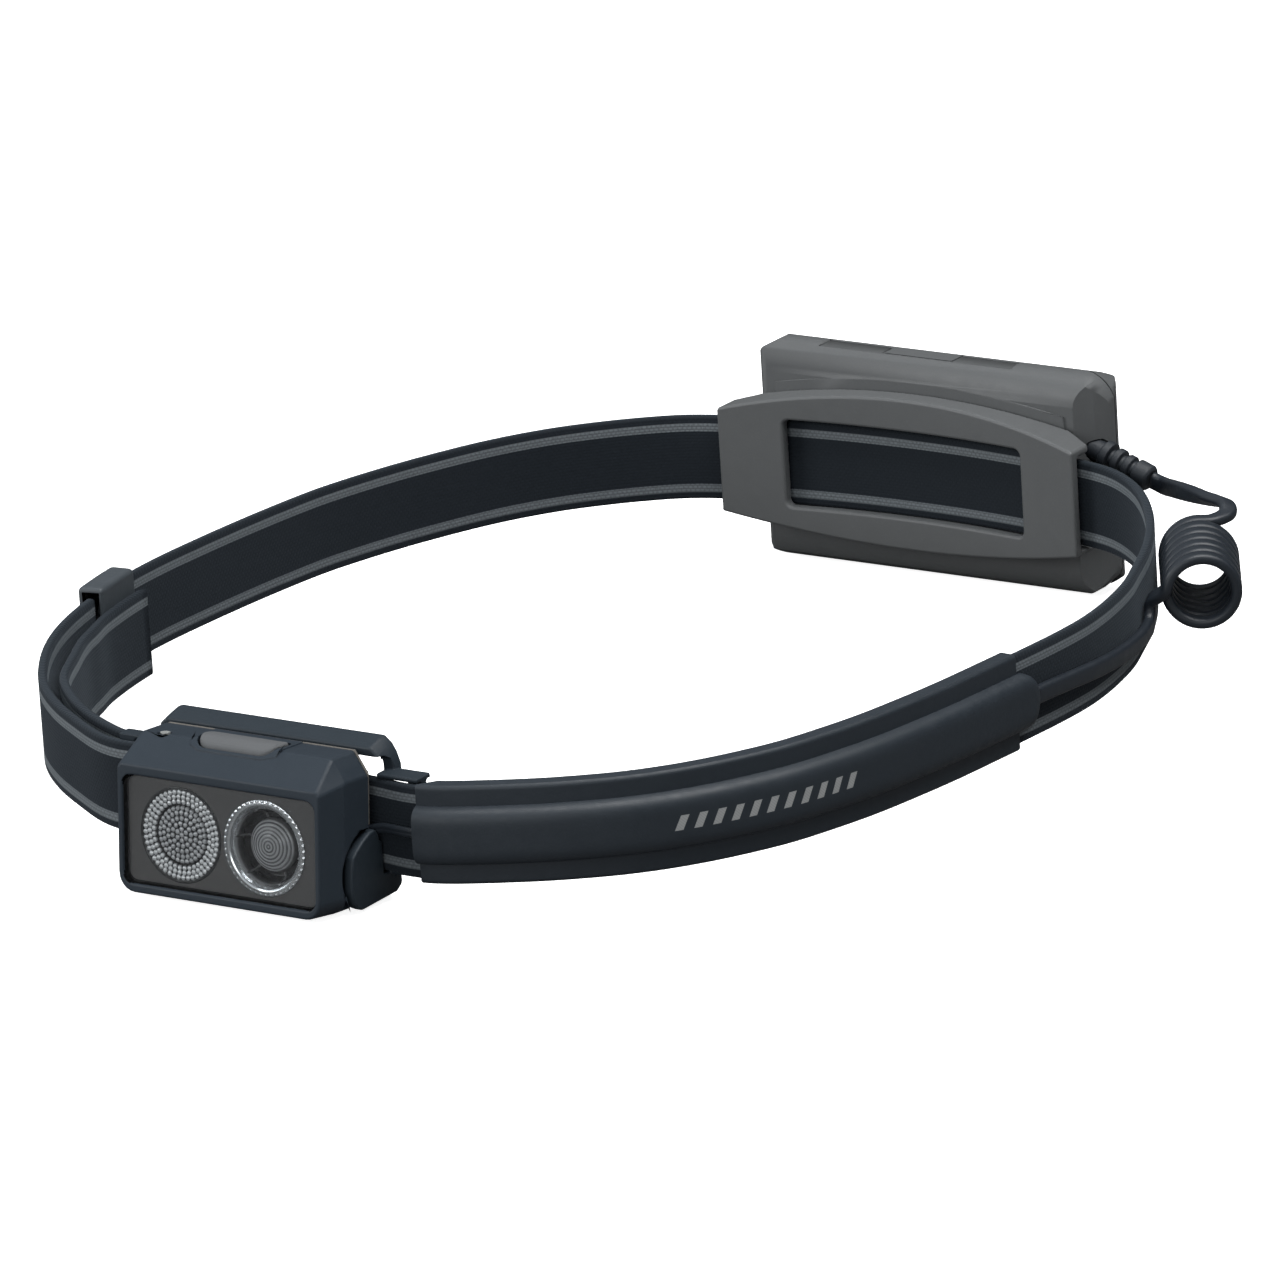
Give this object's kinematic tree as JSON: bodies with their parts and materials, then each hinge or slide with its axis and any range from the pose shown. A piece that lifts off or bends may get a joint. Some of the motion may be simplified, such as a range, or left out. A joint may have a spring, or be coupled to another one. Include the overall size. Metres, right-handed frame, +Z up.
{
  "type": "headlamp",
  "caption": "Running headlamp: tilting two-lens lamp on a forehead bracket, woven band with slider, cable sleeve, coiled lead and rear battery box with hinged cover.",
  "frame": {"origin": "centre of the bounding box of the assembly at rest; the headband loop's own centre is 4 mm towards -X, 2.3 mm towards -Y and 0.15 mm below it", "axes": "+X to the wearer's left, the side with the cable sleeve; -Y forwards, the way the light points; +Z up"},
  "size_m": [0.1716, 0.224, 0.039],
  "materials": {
    "housing_navy": "fine moulded texture, dark blue-grey",
    "trim_dark": "satin, warm dark grey",
    "rear_plastic": "fine moulded texture",
    "webbing": "woven, with two lighter grey reflective stripes",
    "sleeve_rubber": "smooth matt, low-relief centre bulge",
    "grey_plastic": "fine moulded texture, neutral grey",
    "button_rubber": "soft matt",
    "window_clear": "clear, slight gloss",
    "optic_silver": "pebbled, bright",
    "optic_clear": "polished clear optic",
    "emitter": "phosphor yellow",
    "circuit_board": "solder mask",
    "aluminium": "as rolled",
    "steel": "plated",
    "seal": "warm grey seal",
    "cable_jacket": "satin cable jacket",
    "pad_foam": "closed-cell foam",
    "cell_jacket": "plain printed jacket"
  },
  "bodies": {
    "band": {"head_strap": "webbing", "cable_sleeve": "sleeve_rubber", "coil_cable": "cable_jacket", "lamp_lead": "cable_jacket", "box_strain_relief": "cable_jacket", "tilt_bracket": "housing_navy", "forehead_pad": "pad_foam", "tilt_pin_l": "steel", "tilt_pin_r": "steel", "box_tray": "grey_plastic", "box_hinge_pin": "steel", "strap_frame": "grey_plastic", "frame_screw_1": "steel", "frame_screw_2": "steel", "frame_screw_3": "steel", "frame_screw_4": "steel", "cell_1": "cell_jacket", "cell_2": "cell_jacket", "cell_3": "cell_jacket", "contact_spring_1": "steel", "contact_spring_2": "steel", "contact_spring_3": "steel", "contact_left_pair": "steel", "contact_left_single": "steel", "contact_right_single": "steel", "contact_right_pair": "steel", "battery_board": "circuit_board"},
    "lamp_head": {"lamp_housing": "housing_navy", "front_window": "window_clear", "optic_trim": "trim_dark", "flood_optic": "optic_silver", "spot_optic": "optic_clear", "led_flood": "emitter", "led_spot": "emitter", "led_board": "circuit_board", "heat_spreader": "aluminium", "switch_board": "circuit_board", "tact_switch": "steel", "indicator_pipe": "optic_clear", "housing_seal": "seal", "lamp_rear_cover": "rear_plastic", "lamp_screw_l": "steel", "lamp_screw_r": "steel", "lead_grommet": "cable_jacket"},
    "button": {"mode_button": "button_rubber"},
    "slider": {"strap_slider": "rear_plastic"},
    "cover": {"box_cover": "grey_plastic"}
  },
  "joints": [
    {"name": "lamp_tilt", "type": "hinge", "parent": "band", "child": "lamp_head", "pos_m": [-0.00336, -0.09988, -0.00655], "axis": [1, 0, 0], "range_deg": [0, 60], "deforming": ["lamp_lead"]},
    {"name": "button_press", "type": "slide", "parent": "lamp_head", "child": "button", "axis": [0, -0.0958, -0.9954], "range_m": [0, 0.0006], "stiffness_N_per_m": 800},
    {"name": "slider_travel", "type": "hinge", "parent": "band", "child": "slider", "pos_m": [0.03453, -0.01096, -0.00015], "axis": [0, 0, 1], "range_deg": [-6, 6]},
    {"name": "cover_open", "type": "hinge", "parent": "band", "child": "cover", "pos_m": [-0.00336, 0.10492, -0.01815], "axis": [-1, 0, 0], "range_deg": [0, 100]}
  ]
}
